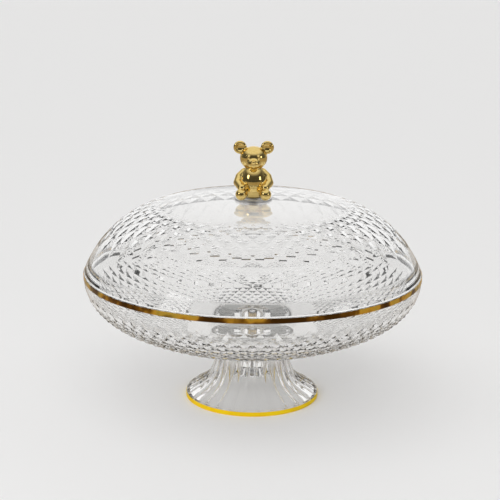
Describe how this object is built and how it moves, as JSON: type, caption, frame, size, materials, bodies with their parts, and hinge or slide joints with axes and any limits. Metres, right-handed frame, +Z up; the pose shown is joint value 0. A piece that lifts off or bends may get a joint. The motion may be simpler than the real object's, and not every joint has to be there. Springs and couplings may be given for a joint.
{
  "type": "footed cake stand with domed lid",
  "caption": "Clear footed cake plate with a cut-facet bowl, a gilt rim, a lift-off domed lid and a golden bear knob.",
  "frame": {"origin": "centre of the foot's underside, on the surface it stands on", "axes": "+Z up the stand's axis; the bear knob faces -Y"},
  "size_m": [0.3, 0.3, 0.2326],
  "materials": {
    "clear_plastic": "clear moulded plastic, polished, with cut facets",
    "rim_gilt": "dark bright gilt",
    "foot_gilt": "satin golden yellow",
    "bear_gold": "polished gold plating",
    "insert_brass": "turned",
    "screw_steel": "zinc plated",
    "seal_silicone": "translucent silicone"
  },
  "bodies": {
    "stand": {"pedestal_foot": "clear_plastic", "foot_gilt_band": "foot_gilt", "pedestal_gasket": "seal_silicone", "pedestal_washer": "screw_steel", "pedestal_screw": "screw_steel", "plate_bowl": "clear_plastic", "plate_insert": "insert_brass", "rim_gilt_band": "rim_gilt"},
    "lid": {"dome_cover": "clear_plastic", "knob_seal_outer": "clear_plastic", "knob_seal_inner": "seal_silicone"},
    "knob": {"knob_washer": "screw_steel", "knob_screw": "screw_steel", "bear_knob": "bear_gold", "knob_insert": "insert_brass"}
  },
  "joints": [
    {"name": "lid_lift", "type": "slide", "parent": "stand", "child": "lid", "axis": [0, 0, 1], "range_m": [0, 0.15]},
    {"name": "knob_turn", "type": "hinge", "parent": "lid", "child": "knob", "pos_m": [0, 0, 0.18255], "axis": [0, 0, 1], "range_deg": [-180, 180]}
  ]
}
